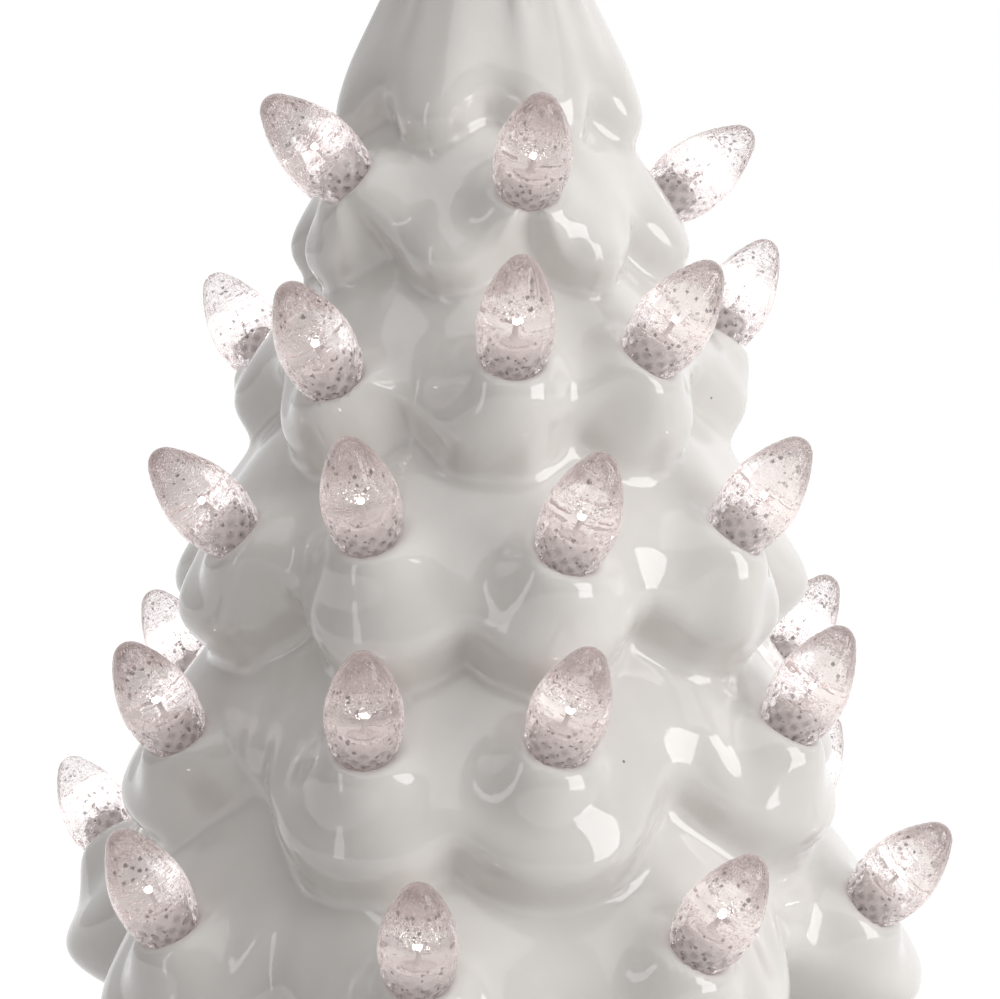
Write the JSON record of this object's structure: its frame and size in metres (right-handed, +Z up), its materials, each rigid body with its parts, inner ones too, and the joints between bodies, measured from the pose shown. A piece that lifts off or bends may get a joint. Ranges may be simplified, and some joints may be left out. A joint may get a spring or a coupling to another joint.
{
  "type": "ceramic christmas tree",
  "caption": "White glazed ceramic Christmas tree of drooping boughs with clear light-up bulbs, a lift-out star and a battery base.",
  "frame": {"origin": "on the table under the tree's axis, at the middle of the foot pads", "axes": "+Z up the tree's axis to the star, front of the tree and of the star towards -Y, +X to the right seen from the front"},
  "size_m": [0.2679, 0.2751, 0.4327],
  "materials": {
    "glaze": "gloss white glaze",
    "base_glaze": "gloss white glaze",
    "bulb_clear": "clear moulded acrylic, faceted and crackled",
    "star_clear": "clear moulded acrylic, faceted",
    "led_light": "clear epoxy, lit",
    "lamp_holder": "moulded",
    "wire_jacket": "soft insulation",
    "pad_rubber": "soft, matt",
    "housing_plastic": "fine moulded grain",
    "door_plastic": "fine moulded grain",
    "switch_plastic": "moulded",
    "knob_plastic": "moulded",
    "board_laminate": "solder mask",
    "contact_metal": "plated spring steel",
    "cell_jacket": "plain printed film"
  },
  "bodies": {
    "tree": {"tree_body": "glaze", "base": "base_glaze", "foot_pads": "pad_rubber", "star_led": "led_light", "star_led_holder": "lamp_holder", "battery_housing": "housing_plastic", "hinge_pin": "contact_metal", "cell_contacts": "contact_metal", "cell_1": "cell_jacket", "cell_2": "cell_jacket", "cell_3": "cell_jacket", "switch_body": "switch_plastic", "circuit_board": "board_laminate", "trunk_cable": "wire_jacket", "bulbs_row_1": "bulb_clear", "leds_row_1": "led_light", "led_holders_row_1": "lamp_holder", "led_leads_row_1": "wire_jacket", "bulbs_row_2": "bulb_clear", "leds_row_2": "led_light", "led_holders_row_2": "lamp_holder", "led_leads_row_2": "wire_jacket", "bulbs_row_3": "bulb_clear", "leds_row_3": "led_light", "led_holders_row_3": "lamp_holder", "led_leads_row_3": "wire_jacket", "bulbs_row_4": "bulb_clear", "leds_row_4": "led_light", "led_holders_row_4": "lamp_holder", "led_leads_row_4": "wire_jacket", "bulbs_row_5": "bulb_clear", "leds_row_5": "led_light", "led_holders_row_5": "lamp_holder", "led_leads_row_5": "wire_jacket"},
    "battery_door": {"battery_door": "door_plastic"},
    "star": {"star_topper": "star_clear"},
    "switch": {"switch_knob": "knob_plastic"}
  },
  "joints": [
    {"name": "star_lift", "type": "slide", "parent": "tree", "child": "star", "axis": [0, 0, 1], "range_m": [0, 0.02]},
    {"name": "door_hinge", "type": "hinge", "parent": "tree", "child": "battery_door", "pos_m": [0, -0.02595, 0.0046], "axis": [-1, 0, 0], "range_deg": [0, 90]},
    {"name": "switch_slide", "type": "slide", "parent": "tree", "child": "switch", "axis": [0, 1, 0], "range_m": [-0.0025, 0.0025]}
  ]
}
